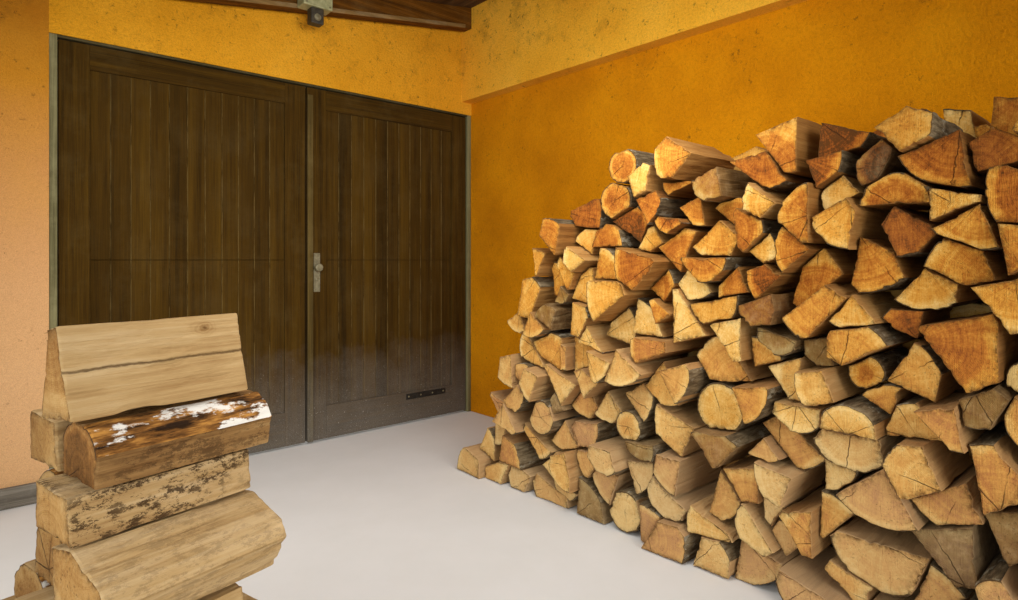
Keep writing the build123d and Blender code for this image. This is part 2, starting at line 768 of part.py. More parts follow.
def pile_outline(width, height, shape, tilt):
    """Outline and bark of one log of the small pile, about its own middle, before it is set."""
    half = width / 2
    heart = None
    if shape == "half":
        outline = [(-half, 0), (half, 0), (half, height), (-half, height)]
        heart = (0, 0)
    elif shape == "bark":
        outline = [(-half, 0), (half * 0.7, 0), (half, height), (-half, height)]
        heart = (-half * 0.1, height * 0.25)
    elif shape == "wedge":
        outline = [(-half, height * 0.1), (0, 0), (half, height * 0.2), (-half * 0.2, height)]
    elif shape == "ridge":
        outline = [(-half, 0), (half * 0.55, 0), (half, height * 0.5), (half * 0.86, height * 0.72),
                   (-half * 0.25, height), (-half, height * 0.9)]
    elif shape == "slab":
        outline = [(-half, 0), (half, height * 0.05), (half * 0.3, height),
                   (-half * 0.3, height * 0.97)]
    else:
        outline = [(-half, 0), (half, 0), (half * 0.88, height * 0.93), (-half * 0.9, height)]
    c = math.cos(math.radians(tilt))
    s = math.sin(math.radians(tilt))

    def turned(point):
        return point[0] * c - point[1] * s, point[0] * s + point[1] * c

    outline = [turned(point) for point in outline]
    if heart is None:
        return outline, None
    heart = turned(heart)
    return outline, (heart, bark_radius(outline, heart, 0.13))


def build_pile():
    """The small pile, each log lowered onto those that lie there already."""
    place = Pos(pile_to_open_side - bay_width, -pile_to_doors, 0) * Rotation(0, 0, pile_turn)
    settled = []
    for number, (across, width, height, shape, tilt, face) in enumerate(pile_logs):
        outline, bark = pile_outline(width, height, shape, tilt)
        shown = moved_outline(inside_bark(outline, bark), across, 0)
        lift = resting_lift(shown, settled)
        settled.append(moved_outline(shown, 0, lift))
        outline = moved_outline(outline, across, lift)
        if bark is not None:
            bark = ((bark[0][0] + across, bark[0][1] + lift), bark[1])
        layer = "lower" if number < len(pile_logs) / 2 else "upper"
        log = log_solid(outline, bark, face, face + pile_log_length)
        add(f"pile_logs_{layer}", place * log)


build_walls()
build_roof_frame()
build_roof_cover()
build_door_frame()
build_leaf("left", opening_left + jamb_width + leaf_gap, 1)
build_leaf("right", -jamb_width - leaf_gap, -1)
build_door_fittings()
build_lamp()
build_stack()
build_pile()

boxes = [solid.bounding_box() for solids in nodes.values() for solid in solids]
middle_x = (min(box.min.X for box in boxes) + max(box.max.X for box in boxes)) / 2
middle_y = (min(box.min.Y for box in boxes) + max(box.max.Y for box in boxes)) / 2
to_origin = Pos(-middle_x, -middle_y, -min(box.min.Z for box in boxes))
os.makedirs("parts", exist_ok=True)
for name, solids in nodes.items():
    moved = [(to_origin * solid).solid() for solid in solids]
    export_step(moved[0] if len(moved) == 1 else Compound(moved), f"parts/{name}.step")
print(len(nodes), "nodes", sum(len(solids) for solids in nodes.values()), "solids")
print("the corner of the wall faces lies at", tuple(round(v, 1) for v in to_origin.position))
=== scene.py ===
# %% [markdown]
# # An open-fronted log store
# A lean-to bay in the corner of two rendered walls, with boarded double doors in its back wall, a
# roof on dark rafters, and split firewood stacked along its side wall. The solids come from the
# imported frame. This lesson gives them their materials and draws what plain solids can't show: each
# log's bark and split faces, the boards of the doors and of the roof deck, and the small fittings.

# %% Load the frame
import math
import random

import bmesh
import bpy
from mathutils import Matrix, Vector, noise


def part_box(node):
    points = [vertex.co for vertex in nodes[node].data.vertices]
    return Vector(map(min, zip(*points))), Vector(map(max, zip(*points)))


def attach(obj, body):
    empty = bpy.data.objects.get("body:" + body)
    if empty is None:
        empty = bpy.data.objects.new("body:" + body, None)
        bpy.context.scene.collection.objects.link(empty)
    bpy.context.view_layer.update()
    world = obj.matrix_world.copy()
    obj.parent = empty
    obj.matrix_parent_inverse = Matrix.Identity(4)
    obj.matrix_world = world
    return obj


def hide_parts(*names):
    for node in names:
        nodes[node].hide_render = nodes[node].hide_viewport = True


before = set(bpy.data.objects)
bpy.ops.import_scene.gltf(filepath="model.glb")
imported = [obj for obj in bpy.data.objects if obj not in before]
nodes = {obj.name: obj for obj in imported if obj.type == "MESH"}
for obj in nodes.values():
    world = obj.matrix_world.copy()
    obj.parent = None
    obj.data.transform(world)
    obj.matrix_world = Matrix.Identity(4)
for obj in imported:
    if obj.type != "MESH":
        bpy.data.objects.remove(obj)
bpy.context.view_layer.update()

# %% [markdown]
# The corner of the two inner wall faces gives the camera, the lamps and the stack their places,
# in metres, with x growing towards the side wall and y towards the doors.

# %% The corner of the two wall faces
corner_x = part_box("side_wall")[0].x
corner_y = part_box("back_wall_pier")[0].y
print("the corner lies at", round(corner_x, 3), round(corner_y, 3))

# %% [markdown]
# The camera stands inside the bay, 1.1 m up, and looks into the corner, 41.6 degrees to the right
# of the doors' square view. It is level, and a small vertical shift puts the horizon above the
# middle of the picture.

# %% Camera
def placed(name, data):
    """A new object in the scene."""
    made = bpy.data.objects.new(name, data)
    bpy.context.collection.objects.link(made)
    return made


camera_place = (corner_x - 2.757, corner_y - 3.517, 1.10)
camera_turn = math.radians(41.6)
picture_width = 1018
focal_pixels = 613
horizon_above_middle = 40

camera_data = bpy.data.cameras.new("store_camera")
camera_data.sensor_width = 36
camera_data.lens = focal_pixels / picture_width * camera_data.sensor_width
camera_data.shift_y = -horizon_above_middle / picture_width
camera = placed("store_camera", camera_data)
camera.location = camera_place
camera.rotation_euler = (math.radians(90), 0, -camera_turn)
bpy.context.scene.camera = camera
print("lens", round(camera_data.lens, 2), "mm")

# %% [markdown]
# Colours are written as sRGB hex, and one function turns them into the linear values that the
# shaders need. A second function adds any node to the open tree, with its settings and its links,
# and gives back its result, so that a material reads from top to bottom like a recipe. A noise
# takes its place, scale, detail and roughness. Scales are in cycles per metre, so that a noise of
# 250 has grains of about 4 mm, and one of 34 has clouds of about 30 mm.

# %% Colour and node helpers
def linear(hex_colour):
    """A linear RGBA colour from an sRGB hex string."""
    values = [int(hex_colour[i:i + 2], 16) / 255 for i in (1, 3, 5)]
    return tuple(v / 12.92 if v <= 0.04045 else ((v + 0.055) / 1.055) ** 2.4 for v in values) + (1,)


tree = None


def open_tree(owner):
    """Empty the node tree of a material or of the world. All later nodes go into it."""
    global tree
    owner.use_nodes = True
    tree = owner.node_tree
    tree.nodes.clear()


def node(kind, *values, inputs=None, stops=(), out=None, **settings):
    """Add a node to the open tree, and give back its first output or the one that is named.

    The values are numbers, hex colours or links. They go to the node's inputs in their order,
    and a dict names the inputs of a node that has many. The stops are a colour ramp's."""
    made = tree.nodes.new("ShaderNode" + kind)
    for name, setting in settings.items():
        setattr(made, name, setting)
    given = list(zip([socket for socket in made.inputs if socket.enabled], values))
    given += [(made.inputs[name], value) for name, value in (inputs or {}).items()]
    for socket, value in given:
        if isinstance(value, bpy.types.NodeSocket):
            tree.links.new(value, socket)
        else:
            socket.default_value = linear(value) if isinstance(value, str) else value
    for number, (position, colour) in enumerate(stops):
        elements = made.color_ramp.elements
        element = elements[number] if number < len(elements) else elements.new(1.0)
        element.position = position
        element.color = linear(colour) if isinstance(colour, str) else (colour, colour, colour, 1)
    outputs = {socket.name: socket for socket in made.outputs if socket.enabled}
    return outputs[out or next(iter(outputs))] if outputs else None


def patterned(value, *patterns):
    """A value with patterns added to it, each with its share and, if it isn't 0, its middle."""
    for pattern, share, *middle in patterns:
        if middle:
            pattern = node("Math", pattern, *middle, operation="SUBTRACT")
        value = node("Math", pattern, share, value, operation="MULTIPLY_ADD")
    return value


def drawn_out(vector, scales, detail, roughness):
    """Noise that is drawn out like fibres, by three scales in cycles per metre."""
    stretched = node("VectorMath", vector, scales, operation="MULTIPLY")
    return node("TexNoise", stretched, 1.0, detail, roughness)


def spots(vector, scale, detail, roughness, low, high):
    """The places where a noise is high: 0 below the low level and 1 above the high one."""
    if isinstance(scale, tuple):
        cloud = drawn_out(vector, scale, detail, roughness)
    else:
        cloud = node("TexNoise", vector, scale, detail, roughness)
    return node("ValToRGB", cloud, stops=((low, 0.0), (high, 1.0)))


def product(*values):
    """The product of values. Of several shares it is one that is high only where all of them are."""
    total, *others = values
    for value in others:
        total = node("Math", total, value, operation="MULTIPLY")
    return total


def stained(colour, stain, *shares):
    """A colour with a stain laid over it where all its shares are high."""
    return node("Mix", product(*shares), colour, stain, data_type="RGBA")


def material(name):
    """A new material with its tree open."""
    made = bpy.data.materials.new(name)
    open_tree(made)
    return made


def along_grain(axis, across, along):
    """Noise scales that are fine across the grain and long along it."""
    scales = [across] * 3
    scales[axis] = along
    return scales


def finished(made, colour, roughness, height=None, depth=0.001, strength=1.0, ior=1.2, metallic=0.0):
    """The material with its surface: colour, roughness and relief."""
    inputs = {"Base Color": colour, "Roughness": roughness, "IOR": ior, "Metallic": metallic}
    if height is not None:
        inputs["Normal"] = node("Bump", inputs={"Height": height, "Distance": depth, "Strength": strength})
    node("OutputMaterial", node("BsdfPrincipled", inputs=inputs))
    return made


def dress(name, finish):
    """Give a node of the frame its material."""
    nodes[name].data.materials.clear()
    nodes[name].data.materials.append(finish)


# %% [markdown]
# The walls have a thrown rough-cast coat, painted ochre. Its relief comes from two noises, of
# about 4 and 12 mm. The paint has faded unevenly over half a metre or so, and the beam-like band
# above is a lighter ochre. The pier beside the doors turns to peach low down, which is painted
# light: the daylight that falls on it from the open side.

# %% Rendered walls
def rough_cast(name, shade, base, light, painted_light_low=None, clumping=0.12, relief=0.011):
    """Ochre rough-cast render."""
    made = material(name)
    place = node("TexCoord", out="Object")
    cloud = node("TexNoise", place, 1.7, 4, 0.6)
    colour = node("ValToRGB", cloud, stops=((0.3, shade), (0.5, base), (0.72, light)))
    level = node("SeparateXYZ", place, out="Z")
    # Painted light: towards the bottom the coat turns peach, as daylight from the open side falls on it.
    if painted_light_low:
        wavy = patterned(level, (cloud, 0.5))
        colour = stained(colour, painted_light_low, node("MapRange", wavy, 0.8, 2.2, 1.0, 0.0))
    grains = node("TexNoise", place, 260, 3, 0.7)
    clumps = node("TexNoise", place, 85, 3, 0.6)
    fine = node("ValToRGB", grains, stops=((0.3, 0.8), (0.62, 1.06)))
    coarse = node("ValToRGB", clumps,
                  stops=((0.3, 1.0 - clumping), (0.5, 1.0), (0.7, 1.0 + 0.5 * clumping)))
    for grit in (fine, coarse):
        colour = node("Mix", 1.0, colour, grit, data_type="RGBA", blend_type="MULTIPLY")
    under_roof = node("MapRange", level, 1.9, 2.6, 0.0, 0.1)
    dirt = node("Math", node("TexNoise", place, 6.5, 9, 0.78), under_roof, operation="ADD")
    stains = node("ValToRGB", dirt, stops=((0.6, 0.0), (0.76, 1.0)))
    colour = stained(colour, "#5A3A14", stains, 0.34)
    marks = spots(place, 34, 5, 0.75, 0.60, 0.63)
    marked = node("ValToRGB", dirt, stops=((0.48, 0.0), (0.64, 1.0)))
    colour = stained(colour, "#4A3010", marks, marked, 0.7)
    return finished(made, colour, 0.95, patterned(clumps, (grains, 0.6)), relief, 0.85)


wall_coat = rough_cast("ochre_wall_coat", "#C07602", "#D48604", "#E29408")
band_coat = rough_cast("lighter_band_coat", "#ECA426", "#F8B430", "#FFC040")
# The pier's coat carries painted light, peach low down where daylight from the open side falls.
pier_coat = rough_cast("pier_coat_painted_light_low", "#AC6A14", "#B87A1E", "#C28628",
                       painted_light_low="#D8AA78", clumping=0.04, relief=0.006)
lintel_coat = rough_cast("lintel_coat", "#D8941A", "#E6A224", "#F0AE30")
coat_of_node = {
    "back_wall_pier": pier_coat, "back_wall_lintel": lintel_coat, "corner_pier": wall_coat,
    "side_wall": wall_coat, "side_wall_band": band_coat, "wall_head_infill": band_coat,
}
for name, coat in coat_of_node.items():
    dress(name, coat)
print(len(coat_of_node), "rendered walls")

# %% [markdown]
# Sawn timber shows long fibres that follow the piece. The noise is drawn out along the grain,
# once finely for the fibres and once broadly for the figure. Each node of the frame runs one way,
# so one number picks the grain's axis. Dust lies as a pale broken veil.

# %% Timber
def dusty_foot(colour, place):
    """The grey dust that rain splashes up on the lowest half metre of a door, with pale specks."""
    level = node("SeparateXYZ", place, out="Z")
    wavy = patterned(level, (node("TexNoise", place, 6.0, 5, 0.7), 0.45))
    low = node("MapRange", wavy, 0.26, 0.8, 0.62, 0.0)
    grit = node("ValToRGB", node("TexNoise", place, 150, 4, 0.75), stops=((0.36, 0.45), (0.6, 1.0)))
    colour = stained(colour, "#78746C", low, grit)
    specks = spots(place, 95, 3, 0.7, 0.66, 0.70)
    return stained(colour, "#B4AEA2", specks, low)


def timber(name, axis, dark, middle, light, dust=None, dust_share=0.0, roughness=0.75, dusty=False):
    """Weathered timber with its grain along one axis."""
    made = material(name)
    place = node("TexCoord", out="Object")
    fibres = drawn_out(place, along_grain(axis, 260.0, 5.0), 4, 0.65)
    figure = drawn_out(place, along_grain(axis, 34.0, 0.9), 3, 0.55)
    blend = patterned(0.0, (fibres, 0.45), (figure, 0.55))
    colour = node("ValToRGB", blend, stops=((0.34, dark), (0.5, middle), (0.68, light)))
    if dust:
        veil = spots(place, 5.5, 9, 0.75, 0.48, 0.72)
        colour = stained(colour, dust, veil, dust_share)
    if dusty:
        colour = dusty_foot(colour, place)
    return finished(made, colour, roughness, patterned(fibres, (figure, 0.6)), 0.0009, 0.8)


ALONG_X, ALONG_Y, ALONG_Z = 0, 1, 2
rafter_browns = ("#3C2205", "#5A3608", "#805016")
deck_browns = ("#3A2814", "#54391D", "#6E4E2A")
door_browns = ("#281A02", "#3C2805", "#4E370A")
weathered_rafter = (*rafter_browns, "#86683A", 0.25)
weathered_edge = (*deck_browns, "#8A7C66", 0.3)
timber_of_node = {
    "rafters": timber("rafter_timber", ALONG_X, *weathered_rafter),
    "rafter_edge_strips": timber("edge_strip_timber", ALONG_X, "#5C4526", "#7A5E35", "#917244",
                                 "#A79A80", 0.3),
    "eaves_beam": timber("beam_timber", ALONG_Y, *weathered_rafter),
    "eaves_posts": timber("post_timber", ALONG_Z, *weathered_rafter),
    "roof_battens": timber("batten_timber", ALONG_Y, "#6B5230", "#85683F", "#9B7D50"),
    "eaves_fascia": timber("fascia_timber", ALONG_Y, *weathered_edge),
    "verge_boards": timber("verge_timber", ALONG_X, *weathered_edge),
    "top_edge_board": timber("top_edge_timber", ALONG_Y, *weathered_edge),
    "foot_board": timber("foot_board_timber", ALONG_X, "#4E483E", "#6C655A", "#8A8376",
                         "#9A958A", 0.4, 0.9),
    "door_jambs": timber("jamb_timber", ALONG_Z, "#544E32", "#706A48", "#888058", "#A09870", 0.35),
    # The head bar is darker than the jambs: partly dirt, partly painted shade under the wall's edge.
    "door_head_bar": timber("head_bar_timber_dirt_and_painted_shade", ALONG_X, "#2C2614", "#40381E", "#564C2C", "#7A7258", 0.3),
    "meeting_strip": timber("meeting_strip_timber", ALONG_Z, "#3A2E14", "#4C3D1C", "#625028",
                            "#7C6C44", 0.30, 0.9, dusty=True),
}
frame_look = (*door_browns, "#6A5A34", 0.16, 0.92)
stile_timber = timber("stile_timber", ALONG_Z, *frame_look, dusty=True)
rail_timber = timber("rail_timber", ALONG_X, *frame_look, dusty=True)
for leaf in ("left_leaf", "right_leaf"):
    timber_of_node[leaf + "_stiles"] = stile_timber
    timber_of_node[leaf + "_rails"] = rail_timber


def soften_edges(name, width):
    """A small rounding along a node's edges, as planing and years of use leave it."""
    piece = nodes[name]
    rounding = piece.modifiers.new("softened_edges", "BEVEL")
    rounding.width = width
    rounding.segments = 2
    rounding.limit_method = "ANGLE"
    rounding.angle_limit = math.radians(40)
    weld = piece.modifiers.new("merged_corners", "WELD")
    weld.merge_threshold = 0.00001
    piece.modifiers.move(1, 0)


for name, finish in timber_of_node.items():
    dress(name, finish)
    soften_edges(name, 0.003)
print(len(timber_of_node), "timber nodes")

# %% [markdown]
# The roof's corrugated sheets are grey fibre cement with lichen, the capping is dull folded zinc,
# and the pads under the posts are cast concrete. Metal and enamel carry blotches of dirt or rust.

# %% Roof sheets, capping and pads
def mineral(name, dark, middle, light, lichen, lichen_share, scale=14.0):
    """Weathered fibre cement or concrete."""
    made = material(name)
    place = node("TexCoord", out="Object")
    cloud = node("TexNoise", place, scale, 6, 0.65)
    colour = node("ValToRGB", cloud, stops=((0.3, dark), (0.5, middle), (0.72, light)))
    growth = spots(place, scale * 4, 5, 0.8, 0.55, 0.66)
    colour = stained(colour, lichen, growth, lichen_share)
    sand = node("TexNoise", place, 180, 3, 0.7)
    grit = node("ValToRGB", sand, stops=((0.3, 0.84), (0.65, 1.05)))
    colour = node("Mix", 1.0, colour, grit, data_type="RGBA", blend_type="MULTIPLY")
    return finished(made, colour, 0.9, patterned(sand, (cloud, 1.0)), 0.001, 0.6, ior=1.5)


def worn_metal(name, dark, middle, light, roughness, metallic, rust, rust_share):
    """Sheet metal or paint over metal, with blotches of dirt or rust."""
    made = material(name)
    place = node("TexCoord", out="Object")
    cloud = node("TexNoise", place, 38, 6, 0.65)
    colour = node("ValToRGB", cloud, stops=((0.3, dark), (0.5, middle), (0.72, light)))
    blotch = spots(place, 90, 5, 0.8, 0.54, 0.70)
    colour = stained(colour, rust, blotch, rust_share)
    rough = node("MapRange", cloud, 0.2, 0.8, roughness - 0.1, roughness + 0.15)
    return finished(made, colour, rough, patterned(cloud, (blotch, 1.0)), 0.0004, 0.5, 1.5, metallic)


sheet_coat = mineral("fibre_cement", "#6C6A64", "#878479", "#9D998C", "#6E7350", 0.5)
pad_coat = mineral("pad_concrete", "#77736A", "#908B80", "#A59F92", "#5E5A50", 0.3, 9.0)
zinc = worn_metal("dull_zinc", "#7E8386", "#969B9D", "#AAAFB0", 0.5, 0.85, "#6E6A5E", 0.25)
hinge_iron = worn_metal("hinge_iron", "#2A2622", "#3B3530", "#514A42", 0.6, 0.7, "#5E3A20", 0.5)
lock_metal = worn_metal("aged_lock_metal", "#645C42", "#7A7256", "#928A6C", 0.5, 0.3, "#6A5A3C", 0.4)
vent_metal = worn_metal("vent_metal", "#151310", "#221F1A", "#37322A", 0.6, 0.4, "#6A5F4C", 0.3)
lamp_enamel = worn_metal("lamp_enamel", "#7C7E54", "#96946A", "#AEAA80", 0.45, 0.0, "#5C5138", 0.35)
lamp_plastic = worn_metal("lamp_plastic", "#1E1A12", "#2E281A", "#463C28", 0.5, 0.0, "#7A6C52", 0.3)
metal_of_node = {
    "roof_sheets_lower": sheet_coat, "roof_sheets_upper": sheet_coat, "post_pads": pad_coat,
    "top_edge_capping": zinc, "left_leaf_straps": hinge_iron, "right_leaf_straps": hinge_iron,
    "left_hinge_pins": hinge_iron, "right_hinge_pins": hinge_iron, "lock_plate": lock_metal,
    "door_knob": lock_metal, "vent_plate": vent_metal, "lamp_box": lamp_enamel,
    "lamp_holder": lamp_plastic,
}
for name, finish in metal_of_node.items():
    dress(name, finish)
edge_widths = {"post_pads": 0.012, "lamp_box": 0.004, "lamp_holder": 0.006, "lock_plate": 0.0012}
for name, width in edge_widths.items():
    soften_edges(name, width)
print(len(metal_of_node), "mineral and metal nodes")

# %% [markdown]
# Boards lie side by side with a small chamfer on each long edge, so that every joint is a
# V-groove. The doors' boards stand upright, in two rows on each leaf. One function draws a board
# as a box with chamfered long edges, along three edges that the caller gives.

# %% Boards
def mesh_object(name, mesh_data, *materials):
    """A mesh object from its vertices, its faces and the number of each face's material."""
    vertices, faces, indices = mesh_data
    mesh = bpy.data.meshes.new(name)
    mesh.from_pydata(vertices, [], faces)
    for finish in materials:
        mesh.materials.append(finish)
    if indices:
        mesh.polygons.foreach_set("material_index", indices)
    mesh.update()
    return placed(name, mesh)


def make_piece(name, mesh_data, body, slot, *materials):
    """A mesh object that rides on a body."""
    piece = mesh_object(name, mesh_data, *materials)
    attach(piece, body)
    return piece


def add_tube(faces, first, count, rings):
    """Quads that join rings of points, each ring right after the one before it."""
    for ring in range(first, first + (rings - 1) * count, count):
        for i in range(count):
            j = (i + 1) % count
            faces.append((ring + i, ring + j, ring + count + j, ring + count + i))


def add_board(mesh_data, origin, across, through, along, chamfer):
    """One board: across, through and along are its three edges as vectors from origin."""
    vertices, faces, _ = mesh_data
    width, thickness = across.length, through.length
    cut_across = across * (chamfer / width)
    cut_through = through * (chamfer / thickness)
    ring = [cut_across, across - cut_across, across + cut_through, across + through - cut_through,
            across + through - cut_across, through + cut_across, through - cut_through, cut_through]
    first = len(vertices)
    for end in (Vector((0, 0, 0)), along):
        vertices.extend(tuple(origin + end + point) for point in ring)
    count = len(ring)
    faces.append(tuple(reversed(range(first, first + count))))
    faces.append(tuple(range(first + count, first + 2 * count)))
    add_tube(faces, first, count, 2)


def board_timber(name, axis, start, pitch, browns, worn_edge, dust, dust_share):
    """Timber whose tone changes from board to board and whose edges are worn lighter."""
    made = material(name)
    place = node("TexCoord", out="Object")
    from_start = node("Math", node("SeparateXYZ", place, out="X"), start, operation="SUBTRACT")
    boards = node("Math", from_start, pitch, operation="DIVIDE")
    number = node("Math", boards, operation="FLOOR")
    tone = node("TexWhiteNoise", number, noise_dimensions="1D")
    shifted = node("VectorMath", place, node("CombineXYZ", number, number, number), operation="ADD")
    fibres = drawn_out(shifted, along_grain(axis, 240.0, 4.5), 4, 0.65)
    figure = drawn_out(shifted, along_grain(axis, 30.0, 0.8), 3, 0.55)
    blend = patterned(0.0, (fibres, 0.42), (figure, 0.48), (tone, 0.11))
    colour = node("ValToRGB", blend, stops=((0.34, browns[0]), (0.5, browns[1]), (0.68, browns[2])))
    to_edge = product(node("Math", boards, 0.5, operation="PINGPONG"), pitch)
    worn = node("MapRange", to_edge, 0.0014, 0.0035, 1.0, 0.0)
    broken = spots(shifted, (60, 60, 9), 5, 0.7, 0.40, 0.56)
    colour = stained(colour, worn_edge, worn, broken, 0.75)
    webs = product(spots(place, 17, 12, 0.85, 0.62, 0.70), 0.5)
    veil = node("Math", spots(place, 5.5, 9, 0.75, 0.46, 0.74), webs, operation="MAXIMUM")
    colour = stained(colour, dust, veil, dust_share)
    if axis == ALONG_Z:
        colour = dusty_foot(colour, place)
    return finished(made, colour, 0.92, patterned(fibres, (figure, 0.6)), 0.0008, 0.8)


boards_per_leaf = 11
board_joint = 0.0012
board_chamfer = 0.0028
seam_height = 1.1
seam_gap = 0.003
seam_low = seam_height - seam_gap / 2
seam_high = seam_height + seam_gap / 2
for leaf in ("left_leaf", "right_leaf"):
    low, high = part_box(leaf + "_boards")
    pitch = (high.x - low.x) / boards_per_leaf
    boards = ([], [], [])
    for i in range(boards_per_leaf):
        for z0, z1 in ((low.z, seam_low), (seam_high, high.z)):
            add_board(boards, Vector((low.x + i * pitch + board_joint / 2, low.y, z0)),
                      Vector((pitch - board_joint, 0, 0)), Vector((0, high.y - low.y, 0)),
                      Vector((0, 0, z1 - z0)), board_chamfer)
    finish = board_timber(leaf + "_board_timber", ALONG_Z, low.x, pitch, door_browns,
                          "#7A6436", "#5E5030", 0.18)
    drawn = make_piece(leaf + "_matchboards", boards, leaf, "door_wood", finish)
    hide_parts(leaf + "_boards")
    print(leaf, boards_per_leaf, "boards of", round(pitch * 1000), "mm")

# %% [markdown]
# The deck is the ceiling of the bay, seen between the rafters. It slopes with them, so a deck
# board's width runs up the slope and its thickness is square to it.

# %% Roof deck
deck_low, deck_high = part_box("roof_deck")
roof_pitch = math.radians(9)
deck_thickness = 0.022
up_slope = Vector((math.cos(roof_pitch), 0, math.sin(roof_pitch)))
deck_normal = Vector((-math.sin(roof_pitch), 0, math.cos(roof_pitch)))
slope_length = (deck_high.x - deck_low.x) / math.cos(roof_pitch)
deck_boards = 26
deck_joint = 0.002
deck_chamfer = 0.003
deck_pitch = slope_length / deck_boards
deck = ([], [], [])
for i in range(deck_boards):
    start = Vector(deck_low) + up_slope * (i * deck_pitch + deck_joint / 2)
    add_board(deck, start, up_slope * (deck_pitch - deck_joint), deck_normal * deck_thickness,
              Vector((0, deck_high.y - deck_low.y, 0)), deck_chamfer)
deck_finish = board_timber("deck_board_timber", ALONG_Y, deck_low.x, deck_pitch * math.cos(roof_pitch),
                           deck_browns, "#7E6238", "#6E6250", 0.3)
drawn_deck = make_piece("deck_boards", deck, "store", "deck_wood", deck_finish)
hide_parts("roof_deck")
print(deck_boards, "deck boards of", round(deck_pitch * 1000), "mm")

# %% [markdown]
# Every log is first read back from the frame. Its solid is a prism, and the points of one end,
# sorted round their middle, are its outline. Where the log keeps its bark the outline is an arc,
# and the arc's centre is the heart of the trunk, round which the rings and the cracks run.

# %% Read the logs' outlines from the frame
def log_axes(turn):
    """Unit vectors along a log, across it towards the open side, and up."""
    return (Vector((math.cos(turn), math.sin(turn), 0)), Vector((math.sin(turn), -math.cos(turn), 0)),
            Vector((0, 0, 1)))


def islands(mesh):
    """The separate closed parts of a mesh, each as a list of points."""
    welded = bmesh.new()
    welded.from_mesh(mesh)
    bmesh.ops.remove_doubles(welded, verts=welded.verts, dist=0.00002)
    unseen = set(welded.verts)
    found = []
    while unseen:
        queue = [min(unseen, key=lambda v: v.index)]
        unseen.discard(queue[0])
        points = []
        while queue:
            vertex = queue.pop()
            points.append(vertex.co.copy())
            for edge in vertex.link_edges:
                other = edge.other_vert(vertex)
                if other in unseen:
                    unseen.discard(other)
                    queue.append(other)
        found.append(points)
    welded.free()
    return found


def circle_through(a, b, c):
    """Centre and radius of the circle through three points, or None if they are in line."""
    a, b, c = (complex(*point) for point in (a, b, c))
    w = (c - a) / (b - a)
    if abs(w.imag) < 1e-9:
        return None
    centre = a + (b - a) * (w - abs(w) ** 2) / (2j * w.imag)
    return centre.real, centre.imag, abs(centre - a)


def heart_of(outline):
    """Centre and radius of the bark's arc: the circle on which most of the outline lies."""
    ring = outline + outline[:2]
    circles = [circle_through(*ring[i:i + 3]) for i in range(len(outline))]
    circles = [circle for circle in circles if circle and circle[2] < 0.4]
    votes = [sum(math.dist(circle, other) < 0.002 for other in circles) for circle in circles]
    return circles[votes.index(max(votes))] if max(votes, default=0) > 1 else None


def read_logs(name, turn=0.0):
    """The logs of a node: outline across and up, start and end along the log, and heart."""
    along, across, up = log_axes(turn)
    logs = []
    for points in islands(nodes[name].data):
        flat = [(p.dot(along), p.dot(across), p.dot(up)) for p in points]
        start, end = min(flat)[0], max(flat)[0]
        face = [(p[1], p[2]) for p in flat if p[0] < start + 0.001]
        middle = (sum(p[0] for p in face) / len(face), sum(p[1] for p in face) / len(face))
        face.sort(key=lambda p: math.atan2(p[1] - middle[1], p[0] - middle[0]))
        logs.append({"outline": face, "middle": middle, "start": start, "end": end,
                     "heart": heart_of(face)})
    logs.sort(key=lambda log: (round(log["middle"][0], 4), round(log["middle"][1], 4)))
    return logs


course_names = sorted(name for name in nodes if name.startswith("log_course"))
courses = {name: read_logs(name) for name in course_names}
pile_turn = math.radians(14)
piles = {name: read_logs(name, pile_turn) for name in ("pile_logs_lower", "pile_logs_upper")}
barked = sum(1 for logs in courses.values() for log in logs if log["heart"])
print(sum(len(logs) for logs in courses.values()), "logs in the stack,", barked, "with bark")

# %% [markdown]
# A turned profile makes every round head: the bolts of the door straps, the screws of the lock
# plate, of the lamp and of the vent, and the domed fasteners that hold the roof sheets down.

# %% Small fittings
def add_head(mesh_data, place, outwards, radius, height, sides=12):
    """A domed head on a thin washer, turned about the direction that it faces."""
    vertices, faces, _ = mesh_data
    outwards = Vector(outwards).normalized()
    side = outwards.orthogonal().normalized()
    other = outwards.cross(side)
    profile = ((1.0, -0.2), (1.0, 0.15), (0.72, 0.2), (0.70, 0.55), (0.52, 0.85), (0.22, 1.0))
    first = len(vertices)
    for share, rise in profile:
        for i in range(sides):
            turn = 2 * math.pi * i / sides
            point = Vector(place) + outwards * height * rise
            spoke = side * math.cos(turn) + other * math.sin(turn)
            vertices.append(tuple(point + spoke * radius * share))
    add_tube(faces, first, sides, len(profile))
    last = len(vertices) - sides
    faces.append(tuple(range(last, last + sides)))
    faces.append(tuple(reversed(range(first, first + sides))))


def island_boxes(name):
    """Low and high corner of each solid of a node."""
    return [[Vector([pick(p[i] for p in points) for i in range(3)]) for pick in (min, max)]
            for points in islands(nodes[name].data)]


towards_room = Vector((0, -1, 0))
down = Vector((0, 0, -1))
well_clear = 0.5
above_roof = 6.0


def crests_of(sheet, x):
    """The points on the crests of a corrugated sheet, along one line across the slope."""
    low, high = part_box(sheet)
    step = 0.004
    least_distance = 0.1
    tops = []
    for i in range(int((high.y - low.y) / step)):
        hit, place, _, _ = nodes[sheet].ray_cast(Vector((x, low.y + (i + 0.5) * step, above_roof)), down)
        tops.append(place.copy() if hit else Vector((0, 0, -1)))
    crests = []
    for i in range(4, len(tops) - 4):
        is_top = tops[i].z > 0 and tops[i].z >= max(place.z for place in tops[i - 4:i + 5])
        if is_top and (not crests or tops[i].y - crests[-1].y > least_distance):
            crests.append(tops[i])
    return crests


def room_side_heads(name, body, slot, heads):
    """Heads that face the room, each given as (place, radius, height, sides)."""
    mesh_data = ([], [], [])
    for place, radius, height, sides in heads:
        add_head(mesh_data, place, towards_room, radius, height, sides)
    return make_piece(name, mesh_data, body, slot, lock_metal)


